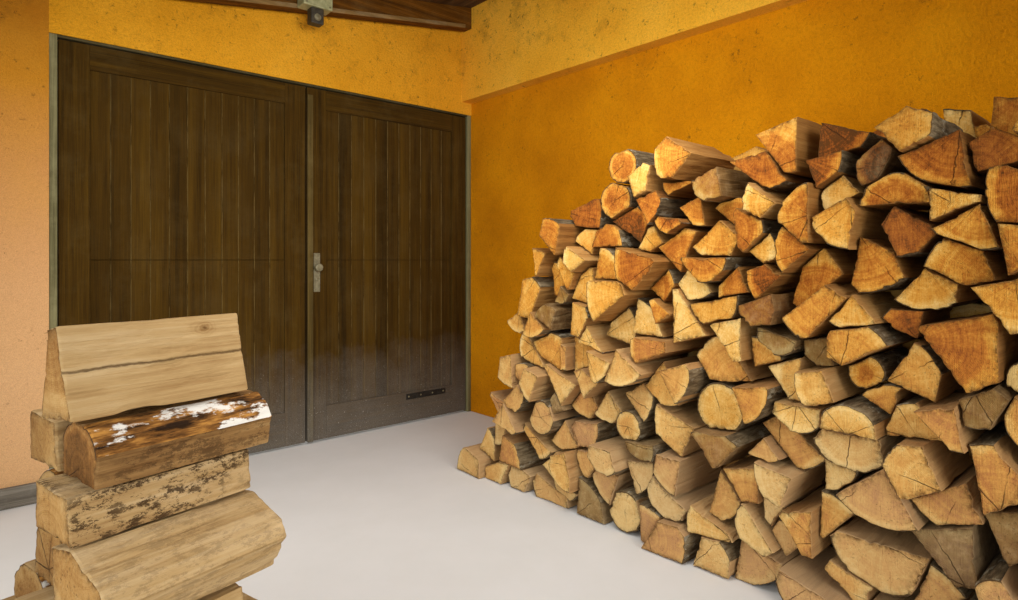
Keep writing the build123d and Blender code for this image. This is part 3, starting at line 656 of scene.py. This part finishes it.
bolt_inset = 0.05
for leaf in ("left_leaf", "right_leaf"):
    bolts = ([], [], [])
    for low, high in island_boxes(leaf + "_straps"):
        for share in (0.0, 0.3, 0.6, 0.9):
            x = low.x + bolt_inset + share * (high.x - low.x - 2 * bolt_inset)
            outside = Vector((x, high.y + well_clear, (low.z + high.z) / 2))
            hit, place, normal, _ = nodes[leaf + "_straps"].ray_cast(outside, towards_room)
            if hit:
                add_head(bolts, place, normal, 0.009, 0.0035)
    make_piece(leaf + "_strap_bolts", bolts, leaf, "hinge_steel", hinge_iron)

fasteners = ([], [], [])
near_edge = 0.03
for low, high in sorted(island_boxes("roof_battens"), key=lambda box: box[0].x):
    x = (low.x + high.x) / 2
    for sheet in ("roof_sheets_upper", "roof_sheets_lower"):
        sheet_low, sheet_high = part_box(sheet)
        if sheet_low.x + near_edge < x < sheet_high.x - near_edge:
            for place in crests_of(sheet, x)[::2]:
                add_head(fasteners, place, deck_normal, 0.014, 0.009, 10)
            break
make_piece("sheet_fasteners", fasteners, "store", "zinc_capping", zinc)

screw_inset = 0.016
lock_low, lock_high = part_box("lock_plate")
lock_middle = (lock_low.x + lock_high.x) / 2
cylinder_level = lock_low.z + 0.075
lock_heads = [((lock_middle, lock_low.y, level), 0.0055, 0.002, 12)
              for level in (lock_low.z + screw_inset, lock_high.z - screw_inset)]
lock_heads.append(((lock_middle, lock_low.y, cylinder_level), 0.0125, 0.0045, 20))
room_side_heads("lock_screws", "right_leaf", "lock_metal", lock_heads)

lamp_low, lamp_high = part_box("lamp_box")
lamp_heads = [((x, lamp_low.y, level), 0.006, 0.0025, 12)
              for x in (lamp_low.x + screw_inset, lamp_high.x - screw_inset)
              for level in (lamp_low.z + screw_inset, lamp_high.z - screw_inset)]
holder_low, holder_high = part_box("lamp_holder")
holder_middle = (holder_low + holder_high) / 2
lamp_heads.append(((holder_middle.x, holder_low.y, holder_middle.z - 0.008), 0.020, 0.007, 18))
room_side_heads("lamp_screws", "store", "lamp_metal", lamp_heads)

vent_low, vent_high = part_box("vent_plate")
vent_heads = [((vent_low.x + share * (vent_high.x - vent_low.x), vent_low.y,
                (vent_low.z + vent_high.z) / 2), 0.0065, 0.0025, 12)
              for share in (0.06, 0.36, 0.66, 0.94)]
room_side_heads("vent_screws", "right_leaf", "lock_metal", vent_heads)
print("bolts, screws and sheet fasteners added")

# %% [markdown]
# A split log has three kinds of surface. Its sawn ends show growth rings round the heart, rays
# and drying cracks that point at it, and faint saw marks. Its split sides show long fibres, and
# its outer side keeps the bark. Each point of a log carries its coordinates from that log's heart
# and the log's own values, such as its tint, so that three materials dress all logs of the stack.

# %% Materials of the logs
def carried_values(name):
    """The three values of a vector that a log's points carry."""
    carried = node("Attribute", attribute_name=name, out="Vector")
    return [node("SeparateXYZ", carried, out=part) for part in "XYZ"]


def log_attributes():
    """Coordinates from the heart, and the values that a log's points carry."""
    grain = node("Attribute", attribute_name="from_heart", out="Vector")
    return grain, carried_values("log_look"), carried_values("log_edge")


def aged(colour, dull, weather):
    """A wood colour dulled by dust and greyed by weather."""
    colour = stained(colour, "#B49C7A", dull, 0.55)
    patches = node("TexNoise", node("TexCoord", out="Object"), 26, 6, 0.7)
    grey = node("ValToRGB", patches, stops=((0.38, "#3A3020"), (0.52, "#5C4E36"), (0.64, "#867656")))
    return stained(colour, grey, weather)


def drying_cracks(grain, angle, distance, seed):
    """Cracks that run from the heart outwards, each only part of the way."""
    cracks_round = 7
    wander = node("TexNoise", grain, 24, 3, 0.6)
    turn = patterned(0.0, (angle, cracks_round / (2 * math.pi)), (seed, 9.7), (wander, 0.30))
    number = node("Math", turn, operation="FLOOR")
    off = node("Math", node("Math", turn, operation="FRACT"), 0.5, operation="SUBTRACT")
    off = product(node("Math", off, operation="ABSOLUTE"), distance, 2 * math.pi / cracks_round)
    wide = product(node("TexNoise", grain, 15, 2, 0.5), 0.0028)
    crack = node("MapRange", off, 0.0003, wide, 1.0, 0.0)
    chance = node("TexWhiteNoise", number, noise_dimensions="1D")
    cracked = node("Math", chance, 0.42, operation="GREATER_THAN")
    return product(crack, cracked, spots(grain, 9, 2, 0.5, 0.42, 0.55))


def rim_spots_and_bark_line(colour, grain, rim, bark, blotch):
    """A sawn end's colour, darker in a broken band at its rim, with its spots and the dark line of the
    bark.
    """
    broken = node("ValToRGB", node("TexNoise", grain, 70, 4, 0.7), stops=((0.36, 0.1), (0.6, 1.0)))
    colour = stained(colour, "#4A3016", node("Math", rim, 8.0, operation="POWER"), broken)
    dots = spots(grain, 150, 4, 0.7, 0.58, 0.64)
    spotted = spots(grain, 13, 3, 0.6, 0.44, 0.58)
    colour = stained(colour, "#4A2E14", dots, spotted, 0.55)
    outermost = node("Math", patterned(rim, (blotch, 0.08)), 0.985, operation="GREATER_THAN")
    return stained(colour, "#3E2E1E", bark, outermost, 0.85)


log_ior = 1.22


def end_grain(name, stops, ageing=True):
    """Sawn end of a log."""
    made = material(name)
    grain, (tint, dull, weather), (rim, bark, seed) = log_attributes()
    x, y = (node("SeparateXYZ", grain, out=part) for part in "XY")
    distance = node("VectorMath", node("CombineXYZ", x, y), operation="LENGTH")
    radius = patterned(distance, (node("TexNoise", grain, 16, 3, 0.6), 0.012, 0.5))
    angle = node("Math", y, x, operation="ARCTAN2")
    ring_width = 0.0034
    rings = node("Math", product(radius, 2 * math.pi / ring_width), operation="SINE")
    years = node("TexNoise", patterned(radius, (seed, 1.0)), 110.0, 3.0, noise_dimensions="1D")
    outwards = node("CombineXYZ", product(angle, 9.0), product(radius, 9.0), seed)
    rays = node("TexNoise", outwards, 1.0, 5, 0.7)
    saw = drawn_out(grain, (420, 14, 1), 2, 0.5)
    blotch = node("TexNoise", grain, 22, 4, 0.6)
    pores = node("TexNoise", grain, 220, 3, 0.75)
    to_bark, core_shade, _ = carried_values("log_core")
    ragged = patterned(0.0, (node("TexNoise", grain, 34, 4, 0.6), 0.050, 0.5))
    depth = patterned(to_bark, (distance, -1.0), (ragged, 1.0))
    heartwood = node("MapRange", depth, 0.014, 0.034, -0.06, core_shade)
    value = patterned(tint, (heartwood, 1.0), (rings, 0.022), (years, 0.30, 0.5), (rays, 0.50, 0.5),
                      (saw, 0.22, 0.5), (blotch, 0.62, 0.5), (pores, 0.50, 0.5))
    colour = node("ValToRGB", value, stops=stops)
    if ageing:
        colour = aged(colour, dull, weather)
    crack = drying_cracks(grain, angle, distance, seed)
    colour = stained(colour, "#3A2412", crack, 0.75)
    colour = rim_spots_and_bark_line(colour, grain, rim, bark, blotch)
    height = patterned(saw, (rays, 1.0), (rings, 0.08), (ragged, 26.0), (crack, -1.6))
    return finished(made, colour, 0.86, height, 0.0032, 1.0, ior=log_ior)


def split_face(name, stops):
    """Split side of a log, with its long fibres."""
    made = material(name)
    grain, (tint, dull, weather), _ = log_attributes()
    fibres = drawn_out(grain, (230, 230, 6), 4, 0.7)
    figure = drawn_out(grain, (42, 42, 1.6), 4, 0.6)
    stain = drawn_out(grain, (9, 9, 4), 4, 0.6)
    value = patterned(0.0, (tint, 0.8), (fibres, 0.50, 0.42), (figure, 0.62, 0.42), (stain, 0.40, 0.42))
    colour = aged(node("ValToRGB", value, stops=stops), dull, weather)
    return finished(made, colour, 0.84, patterned(fibres, (figure, 1.4)), 0.0022, 0.9, ior=log_ior)


def long_crack(place, crack_height, fibres):
    """A thin crack that wanders along the log at about one height."""
    level = node("SeparateXYZ", place, out="Z")
    wavy = patterned(level, (node("TexNoise", place, 8, 6, 0.7), 0.022, 0.5))
    off = node("Math", node("Math", wavy, crack_height, operation="SUBTRACT"), operation="ABSOLUTE")
    thin = node("MapRange", off, 0.0006, 0.0034, 1.0, 0.0)
    return product(thin, node("ValToRGB", fibres, stops=((0.34, 1.0), (0.62, 0.35))))


def fresh_split_face(name, stops, crack_height, knot):
    """Split side of a fresh log, which may carry a crack and a knot, or remains of inner bark."""
    made = material(name)
    grain, (tint, cracked, remains), _ = log_attributes()
    place = node("TexCoord", out="Object")
    fibres = drawn_out(grain, (210, 210, 5), 5, 0.75)
    figure = drawn_out(grain, (48, 48, 1.3), 5, 0.65)
    stain = drawn_out(grain, (8, 8, 3), 5, 0.65)
    value = patterned(0.0, (tint, 0.8), (fibres, 0.50, 0.44), (figure, 0.95, 0.44), (stain, 0.75, 0.44))
    from_knot = node("VectorMath", place, knot, operation="SUBTRACT")
    squeezed = node("VectorMath", from_knot, (0.75, 0.75, 1.4), operation="MULTIPLY")
    away = patterned(node("VectorMath", squeezed, operation="LENGTH"),
                     (node("TexNoise", place, 42, 4, 0.6), 0.024, 0.5))
    rings = node("Math", product(away, 900), operation="SINE")
    in_knot = product(node("MapRange", away, 0.008, 0.028, 1.0, 0.0), cracked)
    value = patterned(value, (in_knot, patterned(0.18, (rings, 0.08))))
    colour = node("ValToRGB", value, stops=stops)
    pith = node("MapRange", away, 0.002, 0.009, 1.0, 0.0)
    colour = stained(colour, "#5E3C18", pith, cracked, 0.75)
    crack = product(long_crack(place, crack_height, fibres), cracked)
    colour = stained(colour, "#5A3A14", crack, 0.85)
    flecks = spots(grain, (48, 48, 26), 8, 0.85, 0.50, 0.54)
    clusters = node("ValToRGB", node("TexNoise", grain, 7, 3, 0.6), stops=((0.38, 0.3), (0.52, 1.0)))
    colour = stained(colour, "#3E2A18", flecks, clusters, remains, 0.9)
    height = patterned(fibres, (figure, 1.6), (crack, -2.0))
    return finished(made, colour, 0.9, height, 0.003, 0.9, ior=log_ior)


def bark(name, browns, patches, patch_share, patch_size=0.05, patch_from=0.56, spread=0.14):
    """Bark, furrowed along the log."""
    made = material(name)
    grain, (tint, _, _), _ = log_attributes()
    dark, middle, light = browns
    furrows = drawn_out(grain, (75, 75, 11), 5, 0.7)
    plates = drawn_out(grain, (24, 24, 6), 3, 0.6)
    value = patterned(0.0, (furrows, 0.6), (plates, 0.4), (tint, -0.1, 0.5))
    colour = node("ValToRGB", value, stops=((0.5 - spread, dark), (0.5, middle), (0.5 + spread, light)))
    round_log, along_log = 1 / patch_size, 0.45 / patch_size
    scales = (round_log, round_log, along_log)
    patch = spots(grain, scales, 6, 0.72, patch_from, patch_from + 0.04)
    colour = stained(colour, patches, patch, patch_share)
    return finished(made, colour, 0.92, patterned(furrows, (plates, 1.0)), 0.005, 0.9, ior=log_ior)


seasoned_ends = ((0.0, "#F0CA7E"), (0.22, "#E2AF59"), (0.45, "#D29338"), (0.68, "#B36B23"),
                 (0.88, "#8F4C18"), (1.0, "#5E3713"))
# The split sides' browns are darkened as painted shade, because the sides turn away from the light that the
# sawn ends face.
seasoned_sides_painted_shade = ((0.0, "#C09A62"), (0.25, "#AE8046"), (0.5, "#90622E"), (0.75, "#68421E"),
                  (1.0, "#3E2A16"))
fresh_ends = ((0.0, "#C6A26A"), (0.3, "#B48A50"), (0.6, "#946634"), (1.0, "#62421E"))
fresh_sides = ((0.0, "#CEB286"), (0.3, "#B99968"), (0.6, "#977346"), (0.85, "#71502C"), (1.0, "#4A341C"))
log_end = end_grain("log_end_grain", seasoned_ends)
log_side = split_face("log_split_side", seasoned_sides_painted_shade)
log_bark = bark("log_bark", ("#33291B", "#5F4F38", "#8C7B5E"), "#A8A08A", 0.5)
fresh_end = end_grain("fresh_end_grain", fresh_ends, ageing=False)

top_log = max(piles["pile_logs_upper"], key=lambda log: log["middle"][1])
pile_along, pile_across, pile_up = log_axes(pile_turn)
top_face = max(u for u, v in top_log["outline"] if v > top_log["middle"][1])
top_of_pile = max(v for u, v in top_log["outline"])
knot_share, knot_below_top, crack_below_top = 0.77, 0.028, 0.084
knot_reach = top_log["start"] + knot_share * (top_log["end"] - top_log["start"])
knot = pile_along * knot_reach + pile_across * (top_face + 0.01) + pile_up * (top_of_pile - knot_below_top)
fresh_side = fresh_split_face("fresh_split_side", fresh_sides, top_of_pile - crack_below_top, tuple(knot))
fresh_bark = bark("fresh_bark", ("#2C1C0E", "#7C5226", "#BC8640"), "#E6E2D8", 0.95,
                  patch_size=0.085, patch_from=0.545, spread=0.085)

# %% [markdown]
# A log is drawn as a loft: its outline, divided into short steps, is set as a ring at several
# places along the log. Each ring is drawn in a little by noises, more on the split sides than on
# the bark, as an axe leaves them. The sawn end leans by up to two degrees and its edge is worn.

# %% Draw one log
def divided(outline, step):
    """The outline with every side divided into equal steps."""
    points = []
    for start, end in zip(outline, outline[1:] + outline[:1]):
        pieces = max(1, round(math.dist(start, end) / step))
        for i in range(pieces):
            points.append(tuple(a + (b - a) * i / pieces for a, b in zip(start, end)))
    return points


def draw_log(drawing, log, axes, rng, look, step, stations, roughness_mm=4.0):
    """Add one log to a drawing: its rings, its ends and the values that its points carry."""
    vertices, faces, indices, carried = drawing
    along, across, up = axes
    outline = divided(log["outline"], step)
    count = len(outline)
    middle = log["middle"]
    size = sum(math.dist(p, middle) for p in outline) / count
    seed = rng.uniform(0, 50)
    if log["heart"]:
        heart = log["heart"][:2]
        bark_radius = log["heart"][2]
        on_bark = [abs(math.dist(p, heart) - bark_radius) < 0.0016 for p in outline]
    else:
        away = rng.uniform(0, 2 * math.pi)
        heart = (middle[0] + math.cos(away) * size * 1.1, middle[1] + math.sin(away) * size * 1.1)
        bark_radius = size * 1.9
        on_bark = [False] * count
    core = (bark_radius, rng.uniform(0.04, 0.30), 0.0)
    lean = (rng.uniform(-0.035, 0.035), rng.uniform(-0.035, 0.035))
    start, end = log["start"], log["end"]
    first = len(vertices)

    def put(u, v, s, rim, barked):
        vertices.append(tuple(along * s + across * u + up * v))
        carried["from_heart"].append((u - heart[0], v - heart[1], s + seed))
        carried["log_look"].append(look)
        carried["log_core"].append(core)
        carried["log_edge"].append((rim, 1.0 if barked else 0.0, seed))

    def leaning(u, v):
        return (u - middle[0]) * lean[0] + (v - middle[1]) * lean[1]

    def towards_middle(u, v, share):
        return middle[0] + (u - middle[0]) * share, middle[1] + (v - middle[1]) * share

    def drawn_in(point, s, barked, extra):
        u, v = point
        broad = 0.5 + 0.5 * noise.noise(Vector((u * 14, v * 14, s * 3 + seed)))
        fine = 0.5 + 0.5 * noise.noise(Vector((u * 95, v * 95, s * (14 if barked else 4) + seed)))
        chips = noise.noise(Vector((u * 50 + 9, v * 50, s * 12 + seed)))
        amount = broad * roughness_mm * (0.35 if barked else 1.0)
        amount += fine * (2.4 if barked else 2.2) + 0.5 + extra
        amount += max(0.0, chips - 0.12) * 12
        return towards_middle(u, v, 1 - min(0.35, amount / 1000 / math.dist(point, middle)))

    for number, station in enumerate(stations):
        s = start + station * (end - start)
        extra = 1.8 if number in (0, len(stations) - 1) else 0.0
        for point, barked in zip(outline, on_bark):
            u, v = drawn_in(point, s, barked, extra)
            shift = 0.0
            if number < 2:
                shift = leaning(u, v) + 0.002 + 0.0015 * noise.noise(Vector((u * 60, v * 60, seed)))
            put(u, v, s + shift, 1.0, barked)
    add_tube(faces, first, count, len(stations))
    side_materials = [2 if here and there else 1 for here, there in zip(on_bark, on_bark[1:] + on_bark[:1])]
    indices.extend(side_materials * (len(stations) - 1))
    last = len(vertices) - count
    outer = first
    for share in (0.86, 0.5):
        inner = len(vertices)
        for i in range(count):
            edge = Vector(vertices[first + i])
            u, v = towards_middle(edge.dot(across), edge.dot(up), share)
            s = start + 0.0012 * noise.noise(Vector((u * 30, v * 30, seed + 7)))
            put(u, v, s + leaning(u, v) + 0.001, share, on_bark[i])
        for i in range(count):
            j = (i + 1) % count
            faces.append((outer + i, inner + i, inner + j, outer + j))
        outer = inner
    for ring, s, turned in ((outer, start + 0.001, False), (last, end, True)):
        centre = len(vertices)
        put(*middle, s, 0.0, False)
        for i in range(count):
            edge = (ring + i, ring + (i + 1) % count)
            faces.append((edge[turned], centre, edge[not turned]))
    indices.extend([0] * (len(faces) - len(indices)))


def new_drawing():
    """Empty mesh data, and the lists of the values that the logs' points carry."""
    return [], [], [], {"from_heart": [], "log_look": [], "log_edge": [], "log_core": []}


def finish_drawing(name, new_name, slot, drawing, *materials):
    """Make a piece from a drawing of logs, and let it take the place of a node."""
    piece = make_piece(new_name, drawing[:3], "store", slot, *materials)
    for kind, values in drawing[3].items():
        attribute = piece.data.attributes.new(kind, "FLOAT_VECTOR", "POINT")
        attribute.data.foreach_set("vector", [v for value in values for v in value])
    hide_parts(name)


# %% [markdown]
# The tint of each log follows where it lies: the upper logs are the most orange, the lowest ones
# are dull with dust, and a few are grey with age. The notable ones are listed by how far from the
# back wall and how high they lie, both in metres, with their tint.

# %% The stack
notable_tints = [
    (3.17, 1.37, 0.72), (3.02, 1.17, 0.78), (2.92, 0.98, 0.72), (2.49, 1.38, 0.62), (2.59, 1.22, 0.55),
    (2.60, 1.52, 0.20), (3.03, 1.53, 0.16), (3.36, 1.16, 0.10), (3.44, 0.78, 0.06), (2.30, 1.32, 0.60),
    (3.25, 1.02, 0.66), (3.41, 1.00, 0.62), (2.39, 0.57, 0.14), (2.79, 1.25, 0.10), (2.80, 1.05, 0.16),
    (3.15, 0.95, 0.30), (2.87, 0.80, 0.36), (3.00, 0.75, 0.34), (3.30, 0.30, 0.28), (2.95, 0.30, 0.30),
]


def tint_of(along_wall, height, rng):
    """Tint, dullness and weathering of a log, from where it lies."""
    tint = rng.betavariate(1.4, 2.4) * 0.66
    for u, v, value in notable_tints:
        if math.dist((u, v), (along_wall, height)) < 0.055:
            return value, 0.05, 0.0
    tint += 0.22 * min(1.0, max(0.0, (height - 0.85) / 0.5)) - 0.03
    tint *= 1.0 - 0.3 * min(1.0, max(0.0, (0.8 - height) / 0.5))
    dull = max(0.0, min(1.0, (0.95 - height) / 0.6)) * rng.uniform(0.4, 1.0)
    weather = rng.uniform(0.45, 0.75) if rng.random() < 0.05 else 0.0
    return tint, dull, weather


rng = random.Random(7)
stack_axes = log_axes(0.0)
front_step, rear_step = 0.009, 0.018
front_stations = (0.0, 0.012, 0.10, 0.26, 0.45, 0.66, 0.86, 0.985, 1.0)
rear_stations = (0.0, 0.02, 0.3, 0.65, 1.0)
front_face_limit = corner_x - 0.62
for name, logs in courses.items():
    drawing = new_drawing()
    for log in logs:
        in_front = log["start"] < front_face_limit
        look = tint_of(log["middle"][0] + corner_y, log["middle"][1], rng)
        draw_log(drawing, log, stack_axes, rng, look, front_step if in_front else rear_step,
                 front_stations if in_front else rear_stations)
    finish_drawing(name, name.replace("log_course", "firewood_course"), "split_log", drawing,
                   log_end, log_side, log_bark)
print(sum(len(logs) for logs in courses.values()), "logs drawn")

# %% [markdown]
# The small pile at the open side is freshly split and paler, and turned by 14 degrees. Its logs
# have more rings, because they lie nearest the camera. In the column that faces the camera, the
# top log has a crack and a knot, and the ones below it keep remains of their inner bark.

# %% The small pile
pile_stations = (0.0, 0.012, 0.07, 0.14, 0.22, 0.30, 0.39, 0.48, 0.57, 0.66, 0.75, 0.84, 0.93, 0.988, 1.0)
pile_axes = log_axes(pile_turn)
notable_pile_logs = {0: (0.22, 1.0, 0.0), 1: (0.58, 0.0, 0.7), 2: (0.16, 0.0, 1.0), 3: (0.06, 0.0, 0.3)}
column_reach = 0.06
for name, logs in piles.items():
    drawing = new_drawing()
    from_top = sorted(logs, key=lambda log: -log["middle"][1])
    column = [log for log in from_top if log["middle"][0] > top_log["middle"][0] - column_reach]
    for log in from_top:
        look = (rng.uniform(0.05, 0.35), 0.0, 0.0)
        if name == "pile_logs_upper" and log in column:
            look = notable_pile_logs.get(column.index(log), look)
        draw_log(drawing, log, pile_axes, rng, look, front_step, pile_stations, 3.6)
    finish_drawing(name, name.replace("logs", "splits"), "fresh_split", drawing,
                   fresh_end, fresh_side, fresh_bark)
    print(name, len(logs), "logs")

# %% [markdown]
# The floor and the backdrop are plain and pale. The light is soft: an even sky all round, a broad
# lamp at the open side and one at the open front, as daylight enters the bay, and one under the
# roof. None of the lamps shows in the picture.

# %% Floor, sky and lamps
def soft_lamp(name, place, towards, width, height, watts, spread=125.0):
    """A broad lamp that the camera doesn't see. Its spread in degrees keeps it off the floor."""
    lamp = bpy.data.lights.new(name, "AREA")
    lamp.shape = "RECTANGLE"
    lamp.size = width
    lamp.size_y = height
    lamp.energy = watts
    lamp.spread = math.radians(spread)
    holder = placed(name, lamp)
    holder.location = place
    holder.rotation_euler = (Vector(towards) - Vector(place)).to_track_quat("-Z", "Y").to_euler()
    holder.visible_camera = False


scene = bpy.context.scene
scene.view_settings.view_transform = "Standard"

floor_coat = material("pale_floor")
sand = node("TexNoise", node("TexCoord", out="Object"), 3.0, 4, 0.6)
finished(floor_coat, node("ValToRGB", sand, stops=((0.3, "#D8D6D1"), (0.7, "#DEDCD8"))), 0.95, ior=1.5)
half = 14.0
level = -0.002
corners = [(-half, -half, level), (half, -half, level), (half, half, level), (-half, half, level)]
floor = mesh_object("floor", (corners, [(0, 1, 2, 3)], []), floor_coat)

scene.world = bpy.data.worlds.new("even_sky")
open_tree(scene.world)
lit = node("Background", "#FFFDF8", 0.95)
seen = node("Background", "#E9E9E7", 1.0)
glossy = node("LightPath", out="Is Glossy Ray")
mirrored = node("Math", glossy, node("LightPath", out="Is Transmission Ray"), operation="MAXIMUM")
direct = node("Math", node("LightPath", out="Is Camera Ray"), mirrored, operation="MAXIMUM")
node("OutputWorld", node("MixShader", direct, lit, seen))

bay_middle = (corner_x - 1.0, corner_y - 1.6, 1.1)
side_lamp_place = (corner_x - 5.2, corner_y - 2.4, 1.9)
front_lamp_place = (corner_x - 2.0, corner_y - 6.2, 1.9)
roof_lamp_place = (corner_x - 1.8, corner_y - 2.2, 1.95)
inner_corner = (corner_x - 0.9, corner_y - 0.5, 0.9)
soft_lamp("open_side_lamp", side_lamp_place, bay_middle, 3.6, 2.2, 40)
soft_lamp("open_front_lamp", front_lamp_place, bay_middle, 3.0, 2.2, 49)
soft_lamp("under_roof_lamp", roof_lamp_place, inner_corner, 1.6, 0.7, 32, spread=180.0)
